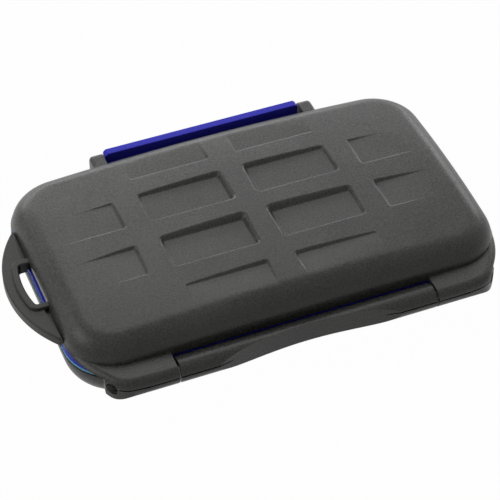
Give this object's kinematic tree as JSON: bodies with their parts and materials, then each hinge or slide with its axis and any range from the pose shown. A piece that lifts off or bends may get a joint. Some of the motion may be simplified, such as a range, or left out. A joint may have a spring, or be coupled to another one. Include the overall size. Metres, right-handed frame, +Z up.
{
  "type": "memory card case",
  "caption": "Flat hinged case for memory cards: crowned lid with sunk bricks, lever latch, seal ring and lanyard loop.",
  "frame": {"origin": "middle of the flat underside, on the surface that the case lies on", "axes": "+X along the case to the right, away from the lanyard loop; +Y from the hinge to the latch; +Z up"},
  "size_m": [0.1198, 0.0753, 0.021],
  "materials": {
    "shell_plastic": "fine-grained dark grey",
    "blue_silicone": "soft blue",
    "blue_plastic": "satin blue",
    "pin_steel": "drawn wire",
    "tray_rubber": "soft dark grey"
  },
  "bodies": {
    "base": {"base_shell": "shell_plastic", "base_tray": "tray_rubber", "seal_ring": "blue_silicone", "latch_pin": "pin_steel"},
    "lid": {"lid_shell": "shell_plastic", "lid_tray": "tray_rubber", "hinge_pin_left": "pin_steel", "hinge_pin_right": "pin_steel"},
    "clip": {"latch_clip": "blue_plastic"}
  },
  "joints": [
    {"name": "lid_hinge", "type": "hinge", "parent": "base", "child": "lid", "pos_m": [0, -0.0364, 0.0096], "axis": [1, 0, 0], "range_deg": [0, 175]},
    {"name": "latch_pivot", "type": "hinge", "parent": "base", "child": "clip", "pos_m": [0, 0.0345, 0.0046], "axis": [-1, 0, 0], "range_deg": [0, 95]}
  ]
}
